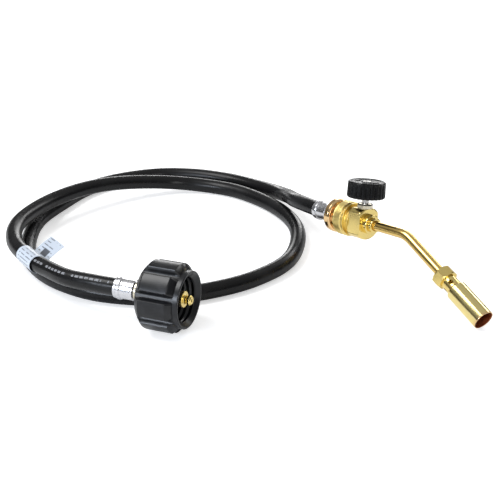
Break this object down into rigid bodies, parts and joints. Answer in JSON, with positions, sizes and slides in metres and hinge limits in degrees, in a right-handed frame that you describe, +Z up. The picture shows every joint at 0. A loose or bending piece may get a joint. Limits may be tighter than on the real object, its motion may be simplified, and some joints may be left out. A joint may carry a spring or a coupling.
{
  "type": "propane torch",
  "caption": "Brass pencil-flame gas torch with a needle-valve knob, fed by a coiled rubber hose that ends in a black hand-tightened cylinder coupling.",
  "frame": {"origin": "on the floor under the middle of the torch head as it lies (hose and coupling left out)", "axes": "+Z up; +X the level direction that the torch points in; +Y to the torch's left, where its knob leans"},
  "size_m": [0.4356, 0.2853, 0.0748],
  "materials": {
    "brass": "polished, machined",
    "brass_dull": "drawn tube, satin",
    "brass_flame": "drawn tube, bright, heat-tinted inside",
    "bronze": "sintered",
    "zinc_steel": "bright zinc plate",
    "stem_steel": "turned",
    "spring_steel": "drawn wire",
    "nickel": "nickel-plated brass, satin",
    "rubber_hose": "satin black, fine mould ridges",
    "rubber_seal": "matt",
    "knob_plastic": "black moulded",
    "nut_plastic": "black moulded, satin",
    "bushing_plastic": "moulded, heat-fusible",
    "ptfe": "white, waxy",
    "label_film": "white printed film"
  },
  "bodies": {
    "torch_and_hose": {"valve_body": "brass", "inlet_gasket": "rubber_seal", "inlet_probe": "brass", "inlet_filter": "bronze", "packing_washer": "ptfe", "packing_nut": "nickel", "burn_tube": "brass_dull", "tube_collar": "brass", "gas_jet": "brass", "air_mixer": "brass", "flame_tube": "brass_flame", "flame_spreader": "bronze", "hose_adapter": "brass", "torch_end_ferrule": "zinc_steel", "hose_tails": "rubber_hose", "hose": "rubber_hose", "hose_label": "label_film", "tank_end_ferrule": "zinc_steel", "tank_nipple": "brass", "nipple_nose": "brass", "check_spring": "spring_steel"},
    "stem_seal": {"stem_o_ring": "rubber_seal"},
    "stem": {"valve_stem": "stem_steel", "control_knob": "knob_plastic", "knob_screw": "stem_steel"},
    "coupling_seat": {"thermal_bushing": "bushing_plastic"},
    "coupling": {"coupling_nut": "nut_plastic"},
    "poppet": {"flow_check": "ptfe"}
  },
  "joints": [
    {"name": "stem_lift", "type": "slide", "parent": "torch_and_hose", "child": "stem_seal", "axis": [-0.1102, 0.1478, 0.9829], "range_m": [0, 0.0025]},
    {"name": "knob_turn", "type": "hinge", "parent": "stem_seal", "child": "stem", "pos_m": [-0.0582, -0.0025, 0.03797], "axis": [-0.1102, 0.1478, 0.9829], "range_deg": [0, 900]},
    {"name": "coupling_slide", "type": "slide", "parent": "torch_and_hose", "child": "coupling_seat", "axis": [-0.848, -0.5299, 0], "range_m": [0, 0.0034]},
    {"name": "coupling_spin", "type": "hinge", "parent": "coupling_seat", "child": "coupling", "pos_m": [-0.0445, -0.1835, 0.026], "axis": [0.848, 0.5299, 0], "continuous": true},
    {"name": "flow_check_slide", "type": "slide", "parent": "torch_and_hose", "child": "poppet", "axis": [-0.848, -0.5299, 0], "range_m": [0, 0.002], "stiffness_N_per_m": 60, "springref_m": -0.004, "deforming": ["check_spring"]}
  ],
  "couplings": [
    {"joint": "knob_turn", "follows": "stem_lift", "rad_per_m": 6283.2}
  ]
}
